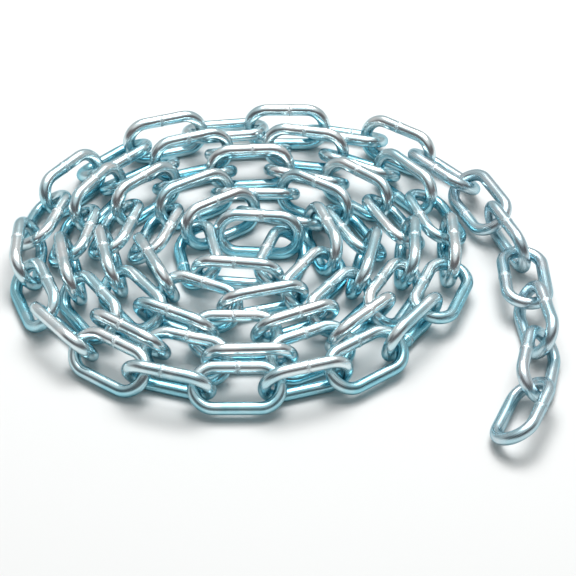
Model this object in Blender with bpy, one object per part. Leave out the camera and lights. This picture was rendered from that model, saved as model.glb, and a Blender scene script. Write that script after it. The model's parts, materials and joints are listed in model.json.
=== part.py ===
"""Heap of welded steel chain: one length coiled flat, with a loose outer end.

Metres, +Z up. The chain lies on the plane Z = 0, and the origin is the middle of its
footprint. Link 1 is the free outer end, and the numbers run along the chain inwards.
"""

import math

import bmesh
import bpy
from mathutils import Euler, Matrix, Vector

MM = 0.001

# Driving dimensions of one link
WIRE = 5.0 * MM
INSIDE_LENGTH = 28.0 * MM
RAIL_SPACING = 16.0 * MM

# Facets of the wire, whose flats lie at the true wire size
WIRE_SIDES = 10
CROWN_STEPS = 6

WIRE_RADIUS = WIRE / 2
CORNER_RADIUS = WIRE_RADIUS / math.cos(math.pi / WIRE_SIDES)
CROWN_RADIUS = RAIL_SPACING / 2
HALF_RAIL = (INSIDE_LENGTH + WIRE - RAIL_SPACING) / 2

# The chain lies slack, more so further in. From each of these link numbers on, the links
# follow each other closer than their inside length by so much.
SLACK = [
    (1, 1.5 * MM), (8, 2.2 * MM), (9, 3.0 * MM), (10, 1.1 * MM), (12, 1.5 * MM), (13, 2.6 * MM),
    (16, 1.6 * MM), (17, 1.1 * MM), (19, 2.2 * MM), (20, 1.4 * MM), (25, 1.6 * MM), (27, 3.0 * MM),
    (47, 3.4 * MM), (60, 0.7 * MM),
]

# The route of the chain from its free end to the middle of the coil: angle in degrees
# and distance in millimetres from that middle.
ROUTE = [
    (-49.5, 153), (-39, 142), (-28, 131), (-18, 117), (-7, 112), (5, 103), (20, 99),
    (34, 94), (46, 91), (53, 89.5), (60, 86.8), (68, 83.5), (77, 79.8), (87, 77.8), (97, 77.5),
    (107, 78), (117, 79), (127, 82), (135.5, 82), (144.5, 82), (154, 84.5), (165, 87),
    (174, 88), (184, 90), (196, 92), (210, 93), (226, 93.5), (243, 94.5), (259, 94.5),
    (277, 93.5), (294, 92), (312, 89), (333, 86.5), (350, 84.5), (367, 81), (387, 77.5),
    (408, 72.5), (431, 66.5), (454, 63), (476, 62.7), (498, 66.6), (519, 69.6), (540, 73),
    (559, 75.5), (577, 77), (595, 77), (612, 77), (632, 77.5), (651, 75.5), (670, 71.5),
    (691, 69.5), (712, 67.5), (733, 63), (755, 57), (777, 52.9), (802, 49.7), (828, 48.6),
    (852, 50.7), (878, 55), (903, 57.5), (927, 59.4), (949, 61.3), (970, 62), (991, 61),
    (1013, 59), (1037, 55.6), (1071, 50.5), (1105, 42), (1136, 37), (1167, 35), (1199, 34.8),
    (1232, 38.5), (1264, 42), (1296, 45), (1330, 46), (1362, 44.5), (1398, 40.2), (1438, 34.5),
    (1478, 25.8), (1524, 19.8), (1572, 19.5), (1618, 24), (1662, 28), (1706, 29), (1752, 26.5),
    (1795, 19), (1835, 13.5), (1885, 9), (1950, 9), (2010, 12), (2050, 17),
]

# Lean of each link about its length, in degrees. At 0 it is flat, and a positive lean
# lifts the rail nearer the middle of the coil.
OUTER_LEANS = [
    -32, 50, -62, 4, 82, -34, 36, -72, 28, -78, 17, -78, 28, -64, 34, -60, 48, -54,
    44, -65, 36, -76, 35, -76, 14, -79, 24, -74, 34, -72, 34, -75, 33, -72, 36, -70, 46,
    -60, 38, -65, 36, -66, 40, -70, 36, -70, 36, -72, 37, -74, 34, -70, 36, -66, 36,
    -66, 38, -66, 36,
]
INNER_LEANS = (-70, 38)

# A link that leans little is carried in the eyes of its steeper neighbours. Where the
# links are slacker, as from the second turn on, it sinks further in them.
CARRY_DROP = 0.8 * MM
LOOSE_DROP = 2.6 * MM
LOOSE_LINKS = (9, 13, 15)
FIRST_LOOSE_LINK = 27

# Single links, and the few at the core that are joined in one piece
SINGLE_LINKS = 59
NAME = "link_{:02d}"
CORE_NAME = "core_links"

STEEL_COLOUR = (0.62, 0.67, 0.68, 1.0)
STEEL_ROUGHNESS = 0.22


def clear_scene():
    """Remove whatever the open file holds."""
    for item in list(bpy.data.objects):
        bpy.data.objects.remove(item, do_unlink=True)


def zinc_plate():
    """Bright zinc plate, the one finish of the chain."""
    material = bpy.data.materials.new("zinc_plate")
    material.use_nodes = True
    shader = material.node_tree.nodes["Principled BSDF"]
    shader.inputs["Base Color"].default_value = STEEL_COLOUR
    shader.inputs["Metallic"].default_value = 1.0
    shader.inputs["Roughness"].default_value = STEEL_ROUGHNESS
    return material


def link_line():
    """Centre line of a flat link: each point with its outward direction."""
    stations = []
    for end in (1, -1):
        for step in range(CROWN_STEPS + 1):
            angle = math.pi * (step / CROWN_STEPS - 0.5)
            outward = Vector((math.cos(angle), math.sin(angle), 0)) * end
            middle = Vector((HALF_RAIL * end, 0, 0))
            stations.append((middle + outward * CROWN_RADIUS, outward))
    return stations


def link_mesh(material):
    """One link lying flat with its length along X: a closed ring of round wire."""
    shape = bmesh.new()
    rings = []
    for point, outward in link_line():
        ring = []
        for side in range(WIRE_SIDES):
            angle = 2 * math.pi * side / WIRE_SIDES
            offset = outward * math.cos(angle) + Vector((0, 0, math.sin(angle)))
            ring.append(shape.verts.new(point + offset * CORNER_RADIUS))
        rings.append(ring)
    for number, ring in enumerate(rings):
        following = rings[(number + 1) % len(rings)]
        for side in range(WIRE_SIDES):
            after = (side + 1) % WIRE_SIDES
            corners = (ring[side], following[side], following[after], ring[after])
            shape.faces.new(corners)
    bmesh.ops.recalc_face_normals(shape, faces=shape.faces)
    mesh = bpy.data.meshes.new("link")
    shape.to_mesh(mesh)
    shape.free()
    mesh.shade_smooth()
    mesh.materials.append(material)
    return mesh


def route_points():
    """Points that the chain's centre line passes through, seen from above."""
    points = []
    for angle, radius in ROUTE:
        turn = math.radians(angle)
        points.append(Vector((math.cos(turn), math.sin(turn), 0)) * radius * MM)
    return points


def smooth_curve(points, steps=24):
    """A smooth curve through the points, as many short chords."""
    first = points[0] * 2 - points[1]
    last = points[-1] * 2 - points[-2]
    ends = [first] + points + [last]
    curve = []
    for before, start, stop, after in zip(ends, ends[1:], ends[2:], ends[3:]):
        for step in range(steps):
            t = step / steps
            curve.append((
                start * 2
                + (stop - before) * t
                + (before * 2 - start * 5 + stop * 4 - after) * t ** 2
                + (start * 3 - before - stop * 3 + after) * t ** 3
            ) / 2)
    curve.append(points[-1])
    return curve


def pitch_of(number):
    """Distance from one joint to the next at the link of this number."""
    slack = [amount for first, amount in SLACK if first <= number]
    return INSIDE_LENGTH - slack[-1]


def crossing(start, stop, centre, distance):
    """The point between start and stop that lies at a distance from centre."""
    along = stop - start
    away = start - centre
    a = along.dot(along)
    b = 2 * away.dot(along)
    c = away.dot(away) - distance ** 2
    return start + along * (math.sqrt(b * b - 4 * a * c) - b) / (2 * a)


def joints(curve):
    """Where each link meets the next, stepped off along the curve."""
    found = [curve[0]]
    for start, stop in zip(curve, curve[1:]):
        distance = pitch_of(len(found))
        if (stop - found[-1]).length >= distance:
            found.append(crossing(start, stop, found[-1], distance))
    return found


def leans(count):
    """Lean of every link, in radians."""
    degrees = list(OUTER_LEANS)
    while len(degrees) < count:
        degrees.append(INNER_LEANS[(len(degrees) + 1) % 2])
    return [math.radians(value) for value in degrees[:count]]


def rest_height(mesh, lean):
    """Height of a leaning link's middle when it stands on the floor."""
    turn = Matrix.Rotation(lean, 3, "X")
    return -min((turn @ vertex.co).z for vertex in mesh.vertices)


def link_places(mesh):
    """Middle and rotation of every link, from the free end inwards."""
    meeting = joints(smooth_curve(route_points()))
    count = len(meeting) - 1
    lean = leans(count)
    rest = [rest_height(mesh, value) for value in lean]
    places = []
    for number in range(count):
        start, stop = meeting[number:number + 2]
        heading = math.atan2(stop.y - start.y, stop.x - start.x)
        beside = rest[max(number - 1, 0):number + 2]
        loose = number + 1 in LOOSE_LINKS or number + 1 >= FIRST_LOOSE_LINK
        drop = LOOSE_DROP if loose else CARRY_DROP
        middle = (start + stop) / 2
        middle.z = max(rest[number], max(beside) - drop)
        places.append((middle, Euler((lean[number], 0, heading))))
    return places


def add_link(name, mesh, place):
    """Place one link as an object of its own."""
    middle, rotation = place
    link = bpy.data.objects.new(name, mesh)
    link.location = middle
    link.rotation_euler = rotation
    bpy.context.collection.objects.link(link)
    return link


def add_core(mesh, places):
    """The innermost links, whose wires meet, joined in one piece."""
    core = add_link(CORE_NAME, mesh, places[0])
    for number, place in enumerate(places[1:], SINGLE_LINKS + 2):
        other = add_link(f"joined_{number}", mesh, place)
        other.hide_render = True
        other.display_type = "WIRE"
        union = core.modifiers.new(other.name, "BOOLEAN")
        union.operation = "UNION"
        union.solver = "EXACT"
        union.object = other
    return core


def centre_footprint(links):
    """Move the chain so that the middle of its footprint is the origin."""
    bpy.context.view_layer.update()
    corners = [link.matrix_world @ vertex.co for link in links for vertex in link.data.vertices]
    middle = Vector((
        (min(corner.x for corner in corners) + max(corner.x for corner in corners)) / 2,
        (min(corner.y for corner in corners) + max(corner.y for corner in corners)) / 2,
        0,
    ))
    for link in bpy.data.objects:
        link.location -= middle


def main():
    clear_scene()
    mesh = link_mesh(zinc_plate())
    places = link_places(mesh)
    singles = []
    for number, place in enumerate(places[:SINGLE_LINKS], 1):
        singles.append(add_link(NAME.format(number), mesh, place))
    add_core(mesh, places[SINGLE_LINKS:])
    centre_footprint(singles)


main()
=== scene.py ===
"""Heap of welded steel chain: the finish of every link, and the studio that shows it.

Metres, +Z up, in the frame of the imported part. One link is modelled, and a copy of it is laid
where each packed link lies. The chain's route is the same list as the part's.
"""

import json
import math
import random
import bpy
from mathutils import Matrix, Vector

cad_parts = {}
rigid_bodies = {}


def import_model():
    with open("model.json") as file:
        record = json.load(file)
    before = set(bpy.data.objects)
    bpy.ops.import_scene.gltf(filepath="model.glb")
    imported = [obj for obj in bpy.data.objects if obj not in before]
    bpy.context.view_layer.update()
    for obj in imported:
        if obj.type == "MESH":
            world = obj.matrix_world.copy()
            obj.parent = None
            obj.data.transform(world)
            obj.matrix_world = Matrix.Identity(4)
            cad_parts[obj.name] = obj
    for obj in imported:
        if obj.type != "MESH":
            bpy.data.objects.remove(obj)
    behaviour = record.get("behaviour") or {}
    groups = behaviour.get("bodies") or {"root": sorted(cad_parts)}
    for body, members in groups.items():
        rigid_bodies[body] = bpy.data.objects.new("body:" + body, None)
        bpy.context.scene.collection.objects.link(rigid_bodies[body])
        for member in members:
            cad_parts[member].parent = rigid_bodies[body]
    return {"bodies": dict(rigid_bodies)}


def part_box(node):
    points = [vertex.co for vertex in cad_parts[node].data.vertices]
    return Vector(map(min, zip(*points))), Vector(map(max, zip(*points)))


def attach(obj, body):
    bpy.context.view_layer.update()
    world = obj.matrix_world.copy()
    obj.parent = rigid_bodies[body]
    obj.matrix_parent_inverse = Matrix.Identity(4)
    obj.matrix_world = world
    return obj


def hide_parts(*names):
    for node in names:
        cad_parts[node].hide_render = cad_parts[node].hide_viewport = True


bl_info = {
    "name": "Chain Heap",
    "version": (1, 0, 0),
    "blender": (4, 5, 0),
    "location": "View3D > Sidebar > Chain Heap",
    "description": "Models a slack flat coil of welded, zinc-plated steel chain",
    "category": "Add Mesh",
}

import bpy
from bpy.props import FloatProperty, FloatVectorProperty, IntProperty, PointerProperty
from mathutils import Euler, Matrix, Vector

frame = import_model()

MM = 0.001
BODY = next(iter(frame["bodies"]))

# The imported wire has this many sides, and its flats lie at the true wire size
PACKED_SIDES = 10

# The chain lies slack, more so further in. From each of these link numbers on, the links
# follow each other closer than their inside length by so much.
SLACK = [
    (1, 1.5 * MM), (8, 2.2 * MM), (9, 3.0 * MM), (10, 1.1 * MM), (12, 1.5 * MM), (13, 2.6 * MM),
    (16, 1.6 * MM), (17, 1.1 * MM), (19, 2.2 * MM), (20, 1.4 * MM), (25, 1.6 * MM), (27, 3.0 * MM),
    (47, 3.4 * MM), (60, 0.7 * MM),
]

# The route of the chain from its free end to the middle of the coil: angle in degrees
# and distance in millimetres from that middle.
ROUTE = [
    (-49.5, 153), (-39, 142), (-28, 131), (-18, 117), (-7, 112), (5, 103), (20, 99),
    (34, 94), (46, 91), (53, 89.5), (60, 86.8), (68, 83.5), (77, 79.8), (87, 77.8), (97, 77.5),
    (107, 78), (117, 79), (127, 82), (135.5, 82), (144.5, 82), (154, 84.5), (165, 87),
    (174, 88), (184, 90), (196, 92), (210, 93), (226, 93.5), (243, 94.5), (259, 94.5),
    (277, 93.5), (294, 92), (312, 89), (333, 86.5), (350, 84.5), (367, 81), (387, 77.5),
    (408, 72.5), (431, 66.5), (454, 63), (476, 62.7), (498, 66.6), (519, 69.6), (540, 73),
    (559, 75.5), (577, 77), (595, 77), (612, 77), (632, 77.5), (651, 75.5), (670, 71.5),
    (691, 69.5), (712, 67.5), (733, 63), (755, 57), (777, 52.9), (802, 49.7), (828, 48.6),
    (852, 50.7), (878, 55), (903, 57.5), (927, 59.4), (949, 61.3), (970, 62), (991, 61),
    (1013, 59), (1037, 55.6), (1071, 50.5), (1105, 42), (1136, 37), (1167, 35), (1199, 34.8),
    (1232, 38.5), (1264, 42), (1296, 45), (1330, 46), (1362, 44.5), (1398, 40.2), (1438, 34.5),
    (1478, 25.8), (1524, 19.8), (1572, 19.5), (1618, 24), (1662, 28), (1706, 29), (1752, 26.5),
    (1795, 19), (1835, 13.5), (1885, 9), (1950, 9), (2010, 12), (2050, 17),
]

# Lean of each link about its length, in degrees. At 0 it is flat, and a positive lean
# lifts the rail nearer the middle of the coil.
OUTER_LEANS = [
    -32, 50, -62, 4, 82, -34, 36, -72, 28, -78, 17, -78, 28, -64, 34, -60, 48, -54,
    44, -65, 36, -76, 35, -76, 14, -79, 24, -74, 34, -72, 34, -75, 33, -72, 36, -70, 46,
    -60, 38, -65, 36, -66, 40, -70, 36, -70, 36, -72, 37, -74, 34, -70, 36, -66, 36,
    -66, 38, -66, 36,
]
INNER_LEANS = (-70, 38)

# A link that leans little is carried in the eyes of its steeper neighbours. Where the
# links are slacker, as from the second turn on, it sinks further in them.
CARRY_DROP = 0.8 * MM
LOOSE_DROP = 2.6 * MM
LOOSE_LINKS = (9, 13, 15)
FIRST_LOOSE_LINK = 27

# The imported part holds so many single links, and its core holds the rest
SINGLE_LINKS = 59
NODE_NAME = "link_{:02d}"
CORE_NODE = "core_links"
PIECE_NAME = "steel_link_{:02d}"
PLACE_TOLERANCE = 0.3 * MM

# Section rings of the weld on its rail: distance from the weld's middle in millimetres,
# and the ring's size against the wire's
WELD_RINGS = [
    (-4.4, 1.0), (-3.2, 1.0), (-2.2, 1.004), (-1.6, 1.008), (-1.1, 1.01), (-0.7, 1.008),
    (-0.45, 1.008), (-0.25, 1.05), (-0.08, 1.075), (0.08, 1.075), (0.25, 1.05),
    (0.45, 1.0), (0.7, 1.0), (1.1, 1.008), (1.6, 1.008), (2.2, 1.004), (3.2, 1.0), (4.4, 1.0),
]
# On each side of the weld the plain wire has one more ring, at this share of the half rail
PLAIN_RING = 0.75
# Points that are closer than this are one point
MERGE_DISTANCE = 0.02 * MM
# How far from its middle the weld's rough skin reaches
WELD_REACH = 1.6 * MM
# How far a weld may lie from the middle of its rail, in millimetres
WELD_DRIFT = 1.6
# Size of the bumps on the weld, and of the slow swellings all over the wire
WELD_GRAIN = 1.1 * MM
WIRE_GRAIN = 7.0 * MM

# Links whose weld lies on the lower rail. On all others it shows on the upper one.
LOW_WELDS = (6, 9, 18, 24, 28, 31, 36, 40, 45, 49, 53, 58, 62, 66, 71)
# Seed of the draws that give each link its weld's place and its finish
SEED = 5

# The finishes of the plate: the setting that holds the plain colour, the share of blue, how much
# more blue is added low down as painted shade, the roughness, and the strength of the drawn lines.
# The last finish is the free end's, and every other link draws one of those before it.
FINISHES = {
    "zinc_bright": ("silver", 0.25, 0.65, 0.21, 0.45),
    "zinc_blue": ("silver", 0.45, 0.70, 0.24, 0.60),
    "zinc_grey": ("grey", 0.20, 0.14, 0.26, 0.70),
}
FREE_LINKS = 7
# The added blue low down is painted shade, for the teal that the links throw onto one another near
# the floor. It is full up to the first of these heights, and gone from the second one on
LOW_SHADE_FOOT = 3 * MM
LOW_SHADE_TOP = 14 * MM
# How far the blotches swing the share of blue to either side
TINT_SWING = 0.25
# How much smoother and rougher the drawn lines make the plate, and how much duller the weld is
LINE_SMOOTHER = 0.05
LINE_ROUGHER = 0.07
WELD_DULLNESS = 0.06
# Full height of the drawn lines, of the plate's grain and of the weld's scale
LINE_HEIGHT = 0.05 * MM
GRAIN_HEIGHT = 0.02 * MM
SCALE_HEIGHT = 0.12 * MM

# What the room gives back at each height, from the floor's edge to overhead: the share
# of the way up, and the colour. The side behind the camera is dim.
ROOM_FAR = [
    (0.0, (0.57, 0.56, 0.56)), (0.60, (0.56, 0.55, 0.55)), (0.80, (0.72, 0.71, 0.71)),
    (1.0, (0.90, 0.89, 0.89)),
]
ROOM_NEAR = [
    (0.0, (0.62, 0.61, 0.61)), (0.20, (0.15, 0.135, 0.14)), (0.58, (0.13, 0.115, 0.12)),
    (0.88, (0.80, 0.79, 0.79)), (1.0, (0.90, 0.89, 0.89)),
]
# The room as the camera sees it, and how much of its light reaches the floor
ROOM_PALE = (0.93, 0.93, 0.93, 1.0)
ROOM_FILL = (0.29, 0.305, 0.305, 1.0)

# Size and place of each light, in metres. Both face the chain.
OVERHEAD_SIZE = (1.0, 1.0)
OVERHEAD_PLACE = (0.1, 0.35, 1.20)
BACK_SIZE = (0.50, 0.50)
BACK_PLACE = (0.12, 0.62, 1.30)
FLOOR_RADIUS = 4.0
CAMERA_AIM = (3.9 * MM, -3.8 * MM, 0)
SENSOR_WIDTH = 36.0

# Distance between neighbouring nodes in a material's node tree, across and down
NODE_GRID = (220, 180)


class LinkSizes(bpy.types.PropertyGroup):
    """Sizes of one welded link."""

    wire: FloatProperty(
        name="Wire", description="Diameter of the wire", default=5.0 * MM, unit="LENGTH"
    )
    inside_length: FloatProperty(
        name="Inside Length", description="Length of the link's eye",
        default=28.0 * MM, unit="LENGTH",
    )
    rail_spacing: FloatProperty(
        name="Rail Spacing", description="Distance between the middles of the straight rails",
        default=16.0 * MM, unit="LENGTH",
    )
    wire_sides: IntProperty(
        name="Wire Sides", description="Faces round the wire", default=24, min=8, max=48
    )
    crown_steps: IntProperty(
        name="Crown Steps", description="Faces along each crown", default=24, min=8, max=64
    )
    rail_steps: IntProperty(
        name="Rail Steps", description="Faces along the plain rail", default=14, min=2, max=40
    )
    weld_roughness: FloatProperty(
        name="Weld Unevenness", description="How far the weld's flash stands and sinks",
        default=0.16 * MM, unit="LENGTH",
    )
    wire_waviness: FloatProperty(
        name="Wire Waviness", description="How far the wire's surface swells and dips",
        default=0.07 * MM, unit="LENGTH",
    )


class ZincLook(bpy.types.PropertyGroup):
    """Colours of the zinc plate."""

    silver: FloatVectorProperty(
        name="Silver", description="Colour of the bright plate", subtype="COLOR", size=4,
        default=(0.84, 0.90, 0.905, 1.0), min=0.0, max=1.0,
    )
    grey: FloatVectorProperty(
        name="Grey", description="Colour of the greyer plate of the free end",
        subtype="COLOR", size=4, default=(0.61, 0.70, 0.74, 1.0), min=0.0, max=1.0,
    )
    # Blue is the bluer plate of the random blotches, and also the painted shade mixed in low down
    # among the links
    blue: FloatVectorProperty(
        name="Blue", description="Colour where the passivate film is thicker",
        subtype="COLOR", size=4, default=(0.30, 0.61, 0.70, 1.0), min=0.0, max=1.0,
    )
    edge: FloatVectorProperty(
        name="Edge", description="Colour of the plate seen at a slant", subtype="COLOR", size=4,
        default=(0.44, 0.58, 0.63, 1.0), min=0.0, max=1.0,
    )
    scale_colour: FloatVectorProperty(
        name="Weld Scale", description="Colour of the plate over the weld's scale",
        subtype="COLOR", size=4, default=(0.60, 0.66, 0.68, 1.0), min=0.0, max=1.0,
    )


class StudioSettings(bpy.types.PropertyGroup):
    """Camera, light and floor."""

    camera_rise: FloatProperty(
        name="Camera Rise", description="Camera's angle above the floor",
        default=math.radians(39.0), subtype="ANGLE",
    )
    camera_away: FloatProperty(
        name="Camera Distance", description="Distance to the point that the camera aims at",
        default=0.9, unit="LENGTH",
    )
    lens: FloatProperty(name="Lens", description="Focal length in millimetres", default=138.75)
    floor_colour: FloatVectorProperty(
        name="Floor", description="Colour of the floor", subtype="COLOR", size=4,
        default=(0.80, 0.80, 0.795, 1.0), min=0.0, max=1.0,
    )
    softbox_power: FloatProperty(
        name="Softbox Power", description="Power of the large soft light in watts", default=14.5
    )
    back_power: FloatProperty(
        name="Back Light Power", description="Power of the light behind the chain in watts",
        default=6.5,
    )


def deselect_all():
    """Leave nothing selected, so that an operator acts only on what is added next."""
    if bpy.context.object and bpy.context.object.mode != "OBJECT":
        bpy.ops.object.mode_set(mode="OBJECT")
    bpy.ops.object.select_all(action="DESELECT")


def half_rail_of(sizes):
    """Half the length of a link's straight rails."""
    return (sizes.inside_length + sizes.wire - sizes.rail_spacing) / 2


def route_points():
    """Points that the chain's centre line passes through, seen from above."""
    points = []
    for angle, radius in ROUTE:
        turn = math.radians(angle)
        points.append(Vector((math.cos(turn), math.sin(turn), 0)) * radius * MM)
    return points


def smooth_curve(points, steps=24):
    """A smooth curve through the points, as many short chords."""
    first = points[0] * 2 - points[1]
    last = points[-1] * 2 - points[-2]
    ends = [first] + points + [last]
    curve = []
    for before, start, stop, after in zip(ends, ends[1:], ends[2:], ends[3:]):
        for step in range(steps):
            t = step / steps
            curve.append((
                start * 2
                + (stop - before) * t
                + (before * 2 - start * 5 + stop * 4 - after) * t ** 2
                + (start * 3 - before - stop * 3 + after) * t ** 3
            ) / 2)
    curve.append(points[-1])
    return curve


def pitch_of(number, sizes):
    """Distance from one joint to the next at the link of this number."""
    slack = [amount for first, amount in SLACK if first <= number]
    return sizes.inside_length - slack[-1]


def crossing(start, stop, centre, distance):
    """The point between start and stop that lies at a distance from centre."""
    along = stop - start
    away = start - centre
    a = along.dot(along)
    b = 2 * away.dot(along)
    c = away.dot(away) - distance ** 2
    return start + along * (math.sqrt(b * b - 4 * a * c) - b) / (2 * a)


def joints(curve, sizes):
    """Where each link meets the next, stepped off along the curve."""
    found = [curve[0]]
    for start, stop in zip(curve, curve[1:]):
        distance = pitch_of(len(found), sizes)
        if (stop - found[-1]).length >= distance:
            found.append(crossing(start, stop, found[-1], distance))
    return found


def leans(count):
    """Lean of every link, in radians."""
    degrees = list(OUTER_LEANS)
    while len(degrees) < count:
        degrees.append(INNER_LEANS[(len(degrees) + 1) % 2])
    return [math.radians(value) for value in degrees[:count]]


def rest_height(lean, sizes):
    """Height of a leaning link's middle when its packed, many-sided wire is on the floor."""
    corner = sizes.wire / 2 / math.cos(math.pi / PACKED_SIDES)
    rise = abs(math.sin(lean))
    reach = 0
    for side in range(PACKED_SIDES):
        angle = 2 * math.pi * side / PACKED_SIDES
        reach = max(reach, rise * math.cos(angle) + math.cos(lean) * math.sin(angle))
    return sizes.rail_spacing / 2 * rise + corner * reach


def link_places(sizes):
    """Middle and rotation of every link, from the free end inwards."""
    meeting = joints(smooth_curve(route_points()), sizes)
    count = len(meeting) - 1
    lean = leans(count)
    rest = [rest_height(value, sizes) for value in lean]
    places = []
    for number in range(count):
        start, stop = meeting[number:number + 2]
        heading = math.atan2(stop.y - start.y, stop.x - start.x)
        beside = rest[max(number - 1, 0):number + 2]
        loose = number + 1 in LOOSE_LINKS or number + 1 >= FIRST_LOOSE_LINK
        drop = LOOSE_DROP if loose else CARRY_DROP
        middle = (start + stop) / 2
        middle.z = max(rest[number], max(beside) - drop)
        places.append((middle, Euler((lean[number], 0, heading))))
    low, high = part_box(NODE_NAME.format(1))
    shift = (low + high) / 2 - places[0][0]
    shift.z = 0
    return [(middle + shift, rotation) for middle, rotation in places]


def extrude_wire(length):
    """Extrude the wire's open end along X."""
    bpy.ops.mesh.extrude_region_move(TRANSFORM_OT_translate={"value": (length, 0, 0)})


def spin_crown(middle, steps):
    """Spin the wire's open end round a crown whose middle is on the X axis."""
    bpy.ops.mesh.spin(steps=steps, angle=-math.pi, center=(middle, 0, 0), axis=(0, 0, 1))


def model_link(sizes):
    """One link lying flat, its length along X and its weld on the rail at +Y."""
    half_rail = half_rail_of(sizes)
    crown = sizes.rail_spacing / 2
    deselect_all()
    bpy.ops.mesh.primitive_circle_add(
        vertices=sizes.wire_sides, radius=sizes.wire / 2, fill_type="NOTHING",
        location=(half_rail, crown, 0), rotation=(0, math.pi / 2, 0),
    )
    link = bpy.context.object
    link.name = "link_pattern"
    bpy.ops.object.transform_apply(location=True, rotation=True, scale=True)
    bpy.ops.object.mode_set(mode="EDIT")
    bpy.ops.mesh.select_all(action="SELECT")
    reach = half_rail
    size = 1.0
    rings = [(-distance * MM, ring_size) for distance, ring_size in WELD_RINGS]
    stations = [(half_rail * PLAIN_RING, 1.0)] + sorted(rings, reverse=True)
    stations += [(-half_rail * PLAIN_RING, 1.0), (-half_rail, 1.0)]
    for station, ring_size in stations:
        extrude_wire(station - reach)
        swell = ring_size / size
        if swell != 1:
            bpy.ops.transform.resize(
                value=(1, swell, swell), center_override=(station, crown, 0)
            )
        reach = station
        size = ring_size
    spin_crown(-half_rail, sizes.crown_steps)
    for _ in range(sizes.rail_steps):
        extrude_wire(half_rail * 2 / sizes.rail_steps)
    spin_crown(half_rail, sizes.crown_steps)
    bpy.ops.mesh.select_all(action="SELECT")
    bpy.ops.mesh.remove_doubles(threshold=MERGE_DISTANCE)
    bpy.ops.mesh.normals_make_consistent(inside=False)
    bpy.ops.object.mode_set(mode="OBJECT")
    bpy.ops.object.shade_smooth()
    return link


def wire_section(point, sizes):
    """Where a point of the flat link lies in the wire's section: outwards and upwards."""
    half_rail = half_rail_of(sizes)
    past_rail = max(abs(point.x) - half_rail, 0)
    outward = math.hypot(past_rail, point.y) - sizes.rail_spacing / 2
    return outward, point.z


def mark_surface(link, sizes):
    """Record on the mesh where each point lies in the wire's section and on the weld."""
    sections = []
    shares = []
    for vertex in link.data.vertices:
        outward, upward = wire_section(vertex.co, sizes)
        sections += [outward / MM, upward / MM, 0]
        share = 0.0
        if vertex.co.y > 0 and abs(vertex.co.x) < WELD_REACH:
            share = math.cos(vertex.co.x / WELD_REACH * math.pi / 2) ** 2
        shares.append(share)
    section = link.data.attributes.new("wire_section", "FLOAT_VECTOR", "POINT")
    section.data.foreach_set("vector", sections)
    weld = link.data.attributes.new("weld", "FLOAT", "POINT")
    weld.data.foreach_set("value", shares)
    flash = link.vertex_groups.new(name="weld_flash")
    wire = link.vertex_groups.new(name="wire")
    for index, share in enumerate(shares):
        flash.add([index], share, "REPLACE")
        wire.add([index], 1.0, "REPLACE")


def roughen(piece, group, grain, height):
    """Swell and sink the surface where a vertex group says, by a cloud pattern in space."""
    clouds = bpy.data.textures.new(f"{group}_clouds", "CLOUDS")
    clouds.noise_scale = grain
    clouds.noise_depth = 2
    bpy.context.view_layer.objects.active = piece
    displace = piece.modifiers.new(f"{group}_relief", "DISPLACE")
    displace.texture = clouds
    displace.texture_coords = "LOCAL"
    displace.vertex_group = group
    displace.strength = height
    displace.mid_level = 0.5
    bpy.ops.object.modifier_apply(modifier=displace.name)
    bpy.data.textures.remove(clouds)


def lay_link(pattern, number, place, sizes, finishes):
    """Lay a copy of the pattern link at its place, with a weld and waviness of its own."""
    middle, rotation = place
    chance = random.Random(SEED * 1000 + number)
    piece = pattern.copy()
    piece.data = pattern.data.copy()
    piece.name = PIECE_NAME.format(number)
    piece.data.name = piece.name
    bpy.context.collection.objects.link(piece)
    half_rail = half_rail_of(sizes)
    shift = chance.uniform(-WELD_DRIFT, WELD_DRIFT) * MM
    for vertex in piece.data.vertices:
        if vertex.co.y > 0 and abs(vertex.co.x) < half_rail:
            vertex.co.x += shift * (1 - abs(vertex.co.x) / half_rail)
    upper_is_inner = rotation.x > 0
    weld_is_inner = upper_is_inner != (number in LOW_WELDS)
    if not weld_is_inner:
        piece.data.transform(Matrix.Rotation(math.pi, 4, "Z"))
    turn = rotation.to_matrix().to_4x4()
    piece.data.transform(Matrix.Translation(middle) @ turn)
    deselect_all()
    piece.select_set(True)
    roughen(piece, "weld_flash", WELD_GRAIN, sizes.weld_roughness)
    roughen(piece, "wire", WIRE_GRAIN, sizes.wire_waviness)
    piece.vertex_groups.clear()
    piece.data.materials.clear()
    finish = chance.choice(finishes[:-1])
    if number <= FREE_LINKS:
        finish = finishes[-1]
    piece.data.materials.append(finish)
    return piece


def check_place(number, place):
    """Stop if a single link doesn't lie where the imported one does."""
    low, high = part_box(NODE_NAME.format(number))
    apart = ((low + high) / 2 - place[0]).length
    if apart > PLACE_TOLERANCE:
        raise RuntimeError(f"link {number} lies {apart / MM:.2f} mm from its packed place")


def add_node(tree, kind, place, **settings):
    """Add a node at a place in the tree's grid and set its properties."""
    node = tree.nodes.new(kind)
    node.location = (place[0] * NODE_GRID[0], -place[1] * NODE_GRID[1])
    for name, value in settings.items():
        setattr(node, name, value)
    return node


def set_inputs(node, **values):
    """Set a node's sockets by name, with underscores for spaces."""
    for name, value in values.items():
        node.inputs[name.replace("_", " ")].default_value = value


def new_group(name, inputs, outputs):
    """A shader node group with named sockets, and its input and output nodes."""
    tree = bpy.data.node_groups.new(name, "ShaderNodeTree")
    for label, kind, default in inputs:
        socket = tree.interface.new_socket(label, in_out="INPUT", socket_type=kind)
        socket.default_value = default
    for label, kind in outputs:
        tree.interface.new_socket(label, in_out="OUTPUT", socket_type=kind)
    source = add_node(tree, "NodeGroupInput", (0, 0))
    sink = add_node(tree, "NodeGroupOutput", (8, 0))
    return tree, source, sink


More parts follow.
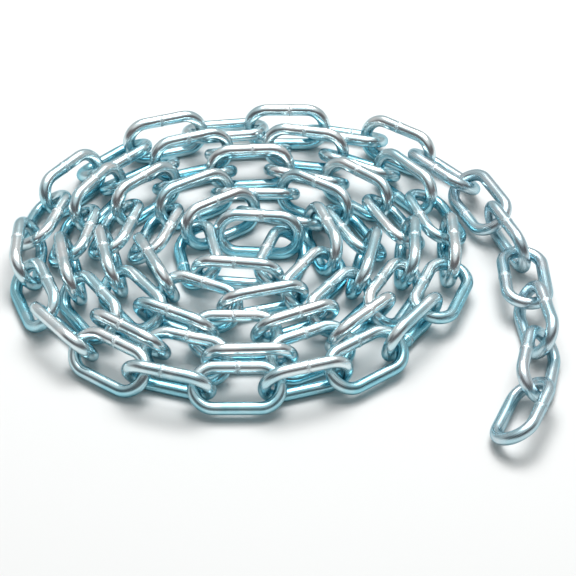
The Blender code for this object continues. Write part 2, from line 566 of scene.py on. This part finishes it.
def wire_marks_group():
    """Masks of the drawn wire: faint lines along it, slow blotches, and how low it lies, which
    sets the painted shade.
    """
    tree, source, sink = new_group(
        "Wire Marks",
        [("Fineness", "NodeSocketFloat", 2.2), ("Drift", "NodeSocketFloat", 70.0)],
        [("Lines", "NodeSocketFloat"), ("Blotches", "NodeSocketFloat"),
         ("Low", "NodeSocketFloat")],
    )
    link = tree.links.new
    section = add_node(tree, "ShaderNodeAttribute", (0, 2), attribute_name="wire_section")
    place = add_node(tree, "ShaderNodeTexCoord", (0, 4))
    fine = add_node(tree, "ShaderNodeVectorMath", (2, 2), operation="SCALE")
    slow = add_node(tree, "ShaderNodeVectorMath", (2, 4), operation="SCALE")
    total = add_node(tree, "ShaderNodeVectorMath", (3, 3), operation="ADD")
    lines = add_node(tree, "ShaderNodeTexNoise", (4, 3))
    set_inputs(lines, Scale=1.0, Detail=3.0, Roughness=0.6)
    blotches = add_node(tree, "ShaderNodeTexNoise", (4, 5))
    set_inputs(blotches, Scale=90.0, Detail=2.0, Roughness=0.5)
    parts = add_node(tree, "ShaderNodeSeparateXYZ", (2, 6))
    # Full at the foot of the heap and gone at the top: the share of painted shade low down
    low = add_node(tree, "ShaderNodeMapRange", (4, 7))
    set_inputs(low, From_Min=LOW_SHADE_TOP, From_Max=LOW_SHADE_FOOT)
    link(place.outputs["Object"], parts.inputs[0])
    link(parts.outputs["Z"], low.inputs["Value"])
    link(low.outputs["Result"], sink.inputs["Low"])
    link(section.outputs["Vector"], fine.inputs[0])
    link(source.outputs["Fineness"], fine.inputs["Scale"])
    link(place.outputs["Object"], slow.inputs[0])
    link(source.outputs["Drift"], slow.inputs["Scale"])
    link(fine.outputs[0], total.inputs[0])
    link(slow.outputs[0], total.inputs[1])
    link(total.outputs[0], lines.inputs["Vector"])
    link(place.outputs["Object"], blotches.inputs["Vector"])
    link(lines.outputs["Fac"], sink.inputs["Lines"])
    link(blotches.outputs["Fac"], sink.inputs["Blotches"])
    return tree


def weld_scale_group():
    """Specks of scale on and beside the weld, under the plate."""
    tree, source, sink = new_group(
        "Weld Scale",
        [("Speck Size", "NodeSocketFloat", 1400.0)],
        [("Mask", "NodeSocketFloat"), ("Specks", "NodeSocketFloat")],
    )
    link = tree.links.new
    weld = add_node(tree, "ShaderNodeAttribute", (0, 2), attribute_name="weld")
    place = add_node(tree, "ShaderNodeTexCoord", (0, 4))
    noise = add_node(tree, "ShaderNodeTexNoise", (2, 4))
    set_inputs(noise, Detail=3.0, Roughness=0.7)
    ramp = add_node(tree, "ShaderNodeMapRange", (4, 4))
    set_inputs(ramp, From_Min=0.45, From_Max=0.62)
    specks = add_node(tree, "ShaderNodeMath", (6, 3), operation="MULTIPLY")
    link(place.outputs["Object"], noise.inputs["Vector"])
    link(source.outputs["Speck Size"], noise.inputs["Scale"])
    link(noise.outputs["Fac"], ramp.inputs["Value"])
    link(ramp.outputs["Result"], specks.inputs[0])
    link(weld.outputs["Fac"], specks.inputs[1])
    link(weld.outputs["Fac"], sink.inputs["Mask"])
    link(specks.outputs[0], sink.inputs["Specks"])
    return tree


def zinc_plate(name, look, groups, plain, blueness, low_shade, roughness, line_depth):
    """Bright zinc plate over drawn wire: plain, bluer in random blotches, and bluer low down as
    painted shade.
    """
    material = bpy.data.materials.new(name)
    material.use_nodes = True
    tree = material.node_tree
    link = tree.links.new
    shader = tree.nodes["Principled BSDF"]
    set_inputs(shader, Metallic=1.0, Specular_Tint=look.edge)
    wire = add_node(tree, "ShaderNodeGroup", (-7, 0), node_tree=groups["wire"])
    weld = add_node(tree, "ShaderNodeGroup", (-7, 3), node_tree=groups["weld"])
    blue_share = add_node(tree, "ShaderNodeMapRange", (-5, 0))
    set_inputs(blue_share, From_Min=0.35, From_Max=0.65)
    set_inputs(blue_share, To_Min=blueness - TINT_SWING, To_Max=blueness + TINT_SWING)
    # Share of blue: the random blotches, plus painted shade low down among the links
    blotch_and_shade_blue = add_node(tree, "ShaderNodeMath", (-4, 0), operation="MULTIPLY_ADD")
    blotch_and_shade_blue.inputs[1].default_value = low_shade
    tint = add_node(tree, "ShaderNodeMix", (-3, 0), data_type="RGBA")
    tint.inputs["A"].default_value = getattr(look, plain)
    tint.inputs["B"].default_value = look.blue
    colour = add_node(tree, "ShaderNodeMix", (-1.5, 0), data_type="RGBA")
    colour.inputs["B"].default_value = look.scale_colour
    gloss = add_node(tree, "ShaderNodeMapRange", (-5, 2))
    set_inputs(gloss, From_Min=0.3, From_Max=0.7)
    set_inputs(gloss, To_Min=roughness - LINE_SMOOTHER, To_Max=roughness + LINE_ROUGHER)
    dull = add_node(tree, "ShaderNodeMath", (-3, 2), operation="MULTIPLY_ADD")
    dull.inputs[1].default_value = WELD_DULLNESS
    grain_place = add_node(tree, "ShaderNodeTexCoord", (-7, 5))
    grain = add_node(tree, "ShaderNodeTexNoise", (-5, 5))
    set_inputs(grain, Scale=1900.0, Detail=2.0, Roughness=0.6)
    line_bump = add_node(tree, "ShaderNodeBump", (-3, 4))
    set_inputs(line_bump, Strength=line_depth, Distance=LINE_HEIGHT)
    grain_bump = add_node(tree, "ShaderNodeBump", (-2, 5))
    set_inputs(grain_bump, Strength=0.25, Distance=GRAIN_HEIGHT)
    weld_bump = add_node(tree, "ShaderNodeBump", (-1, 6))
    set_inputs(weld_bump, Strength=0.8, Distance=SCALE_HEIGHT)
    link(wire.outputs["Blotches"], blue_share.inputs["Value"])
    link(wire.outputs["Low"], blotch_and_shade_blue.inputs[0])
    link(blue_share.outputs["Result"], blotch_and_shade_blue.inputs[2])
    link(blotch_and_shade_blue.outputs[0], tint.inputs["Factor"])
    link(tint.outputs["Result"], colour.inputs["A"])
    link(weld.outputs["Specks"], colour.inputs["Factor"])
    link(colour.outputs["Result"], shader.inputs["Base Color"])
    link(wire.outputs["Lines"], gloss.inputs["Value"])
    link(weld.outputs["Mask"], dull.inputs[0])
    link(gloss.outputs["Result"], dull.inputs[2])
    link(dull.outputs[0], shader.inputs["Roughness"])
    link(wire.outputs["Lines"], line_bump.inputs["Height"])
    link(grain_place.outputs["Object"], grain.inputs["Vector"])
    link(grain.outputs["Fac"], grain_bump.inputs["Height"])
    link(line_bump.outputs["Normal"], grain_bump.inputs["Normal"])
    link(weld.outputs["Specks"], weld_bump.inputs["Height"])
    link(grain_bump.outputs["Normal"], weld_bump.inputs["Normal"])
    link(weld_bump.outputs["Normal"], shader.inputs["Normal"])
    return material


def zinc_finishes(look):
    """The plate's finishes, made once, with the free end's last."""
    if all(name in bpy.data.materials for name in FINISHES):
        return [bpy.data.materials[name] for name in FINISHES]
    groups = {"wire": wire_marks_group(), "weld": weld_scale_group()}
    return [zinc_plate(name, look, groups, *values) for name, values in FINISHES.items()]


def lay_links(scene, first, last):
    """Lay the links from one number to another, or to the last one of all."""
    sizes = scene.link_sizes
    finishes = zinc_finishes(scene.zinc_look)
    places = link_places(sizes)
    if last is None:
        last = len(places)
    pattern = model_link(sizes)
    mark_surface(pattern, sizes)
    for number in range(first, last + 1):
        place = places[number - 1]
        piece = lay_link(pattern, number, place, sizes, finishes)
        if number <= SINGLE_LINKS:
            check_place(number, place)
            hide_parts(NODE_NAME.format(number))
        else:
            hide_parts(CORE_NODE)
        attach(piece, BODY)
    bpy.data.objects.remove(pattern, do_unlink=True)


class CHAIN_OT_single_links(bpy.types.Operator):
    """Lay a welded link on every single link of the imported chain"""

    bl_idname = "chain.single_links"
    bl_label = "Lay Single Links"

    def execute(self, context):
        lay_links(context.scene, 1, SINGLE_LINKS)
        return {"FINISHED"}


class CHAIN_OT_core_links(bpy.types.Operator):
    """Lay the innermost links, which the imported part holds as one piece"""

    bl_idname = "chain.core_links"
    bl_label = "Lay Core Links"

    def execute(self, context):
        lay_links(context.scene, SINGLE_LINKS + 1, None)
        return {"FINISHED"}


def floor_material(colour):
    """Matt white card."""
    material = bpy.data.materials.new("white_card")
    material.use_nodes = True
    shader = material.node_tree.nodes["Principled BSDF"]
    set_inputs(shader, Base_Color=colour, Roughness=0.85, Specular_IOR_Level=0.2)
    return material


def add_floor(studio):
    """A wide round floor under the chain."""
    deselect_all()
    bpy.ops.mesh.primitive_circle_add(vertices=96, radius=FLOOR_RADIUS, fill_type="NGON")
    floor = bpy.context.object
    floor.name = "studio_floor"
    floor.data.materials.append(floor_material(studio.floor_colour))


def add_softbox(name, power, size, middle):
    """A soft rectangular light that faces the chain."""
    light = bpy.data.lights.new(name, "AREA")
    light.shape = "RECTANGLE"
    light.size, light.size_y = size
    light.energy = power
    lamp = bpy.data.objects.new(name, light)
    lamp.location = middle
    lamp.rotation_euler = Vector(middle).to_track_quat("Z", "Y").to_euler()
    bpy.context.collection.objects.link(lamp)


def ramp_node(tree, place, stops):
    """A colour ramp with the given stops, each a share and a colour."""
    node = add_node(tree, "ShaderNodeValToRGB", place)
    node.color_ramp.interpolation = "EASE"
    while len(node.color_ramp.elements) < len(stops):
        node.color_ramp.elements.new(0.5)
    for element, (share, colour) in zip(node.color_ramp.elements, stops):
        element.position = share
        element.color = (*colour, 1.0)
    return node


def light_room():
    """The room round the floor: pale to the eye, an even fill, and uneven in the steel."""
    world = bpy.data.worlds.new("studio_room")
    bpy.context.scene.world = world
    world.use_nodes = True
    tree = world.node_tree
    link = tree.links.new
    background = tree.nodes["Background"]
    direction = add_node(tree, "ShaderNodeTexCoord", (-8, 0))
    parts = add_node(tree, "ShaderNodeSeparateXYZ", (-7, 0))
    far = ramp_node(tree, (-5, 0), ROOM_FAR)
    near = ramp_node(tree, (-5, 2), ROOM_NEAR)
    side = add_node(tree, "ShaderNodeMapRange", (-5, 4), interpolation_type="SMOOTHSTEP")
    set_inputs(side, From_Min=-0.35, From_Max=0.25)
    room = add_node(tree, "ShaderNodeMix", (-3, 1), data_type="RGBA")
    seen = add_node(tree, "ShaderNodeLightPath", (-3, 4))
    filled = add_node(tree, "ShaderNodeMix", (-2, 1), data_type="RGBA")
    filled.inputs["B"].default_value = ROOM_FILL
    shown = add_node(tree, "ShaderNodeMix", (-1, 1), data_type="RGBA")
    shown.inputs["B"].default_value = ROOM_PALE
    link(direction.outputs["Generated"], parts.inputs[0])
    link(parts.outputs["Z"], far.inputs["Fac"])
    link(parts.outputs["Z"], near.inputs["Fac"])
    link(parts.outputs["Y"], side.inputs["Value"])
    link(side.outputs["Result"], room.inputs["Factor"])
    link(near.outputs["Color"], room.inputs["A"])
    link(far.outputs["Color"], room.inputs["B"])
    link(room.outputs["Result"], filled.inputs["A"])
    link(seen.outputs["Is Diffuse Ray"], filled.inputs["Factor"])
    link(filled.outputs["Result"], shown.inputs["A"])
    link(seen.outputs["Is Camera Ray"], shown.inputs["Factor"])
    link(shown.outputs["Result"], background.inputs["Color"])


def add_camera(studio):
    """The camera, which looks down along the photograph's line of sight."""
    back = Vector((0, -math.cos(studio.camera_rise), math.sin(studio.camera_rise)))
    data = bpy.data.cameras.new("camera")
    data.lens = studio.lens
    data.sensor_width = SENSOR_WIDTH
    camera = bpy.data.objects.new("camera", data)
    camera.location = Vector(CAMERA_AIM) + back * studio.camera_away
    camera.rotation_euler = (math.pi / 2 - studio.camera_rise, 0, 0)
    bpy.context.collection.objects.link(camera)
    bpy.context.scene.camera = camera


class CHAIN_OT_studio(bpy.types.Operator):
    """Set up the floor, the light and the camera"""

    bl_idname = "chain.studio"
    bl_label = "Set Up Studio"

    def execute(self, context):
        studio = context.scene.studio_settings
        add_floor(studio)
        light_room()
        add_softbox("overhead_softbox", studio.softbox_power, OVERHEAD_SIZE, OVERHEAD_PLACE)
        add_softbox("back_light", studio.back_power, BACK_SIZE, BACK_PLACE)
        add_camera(studio)
        context.scene.view_settings.view_transform = "Standard"
        return {"FINISHED"}


class CHAIN_PT_panel(bpy.types.Panel):
    """Sidebar panel with the chain's settings and steps."""

    bl_label = "Chain Heap"
    bl_idname = "CHAIN_PT_panel"
    bl_space_type = "VIEW_3D"
    bl_region_type = "UI"
    bl_category = "Chain Heap"

    def draw(self, context):
        layout = self.layout
        scene = context.scene
        for group in (scene.link_sizes, scene.zinc_look, scene.studio_settings):
            box = layout.box()
            for name in group.__annotations__:
                box.prop(group, name)
        for step in STEPS:
            layout.operator(step.bl_idname)


STEPS = (CHAIN_OT_single_links, CHAIN_OT_core_links, CHAIN_OT_studio)
GROUPS = {
    "link_sizes": LinkSizes,
    "zinc_look": ZincLook,
    "studio_settings": StudioSettings,
}


def register():
    """Add the settings, the steps and the panel to Blender."""
    for name, group in GROUPS.items():
        bpy.utils.register_class(group)
        setattr(bpy.types.Scene, name, PointerProperty(type=group))
    for step in STEPS:
        bpy.utils.register_class(step)
    bpy.utils.register_class(CHAIN_PT_panel)


def unregister():
    """Take the panel, the steps and the settings out of Blender."""
    bpy.utils.unregister_class(CHAIN_PT_panel)
    for step in reversed(STEPS):
        bpy.utils.unregister_class(step)
    for name, group in GROUPS.items():
        delattr(bpy.types.Scene, name)
        bpy.utils.unregister_class(group)


def main():
    """Make the chain's links and its studio."""
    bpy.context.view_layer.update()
    register()
    bpy.ops.chain.single_links()
    bpy.ops.chain.core_links()
    bpy.ops.chain.studio()


if __name__ == "__main__":
    main()
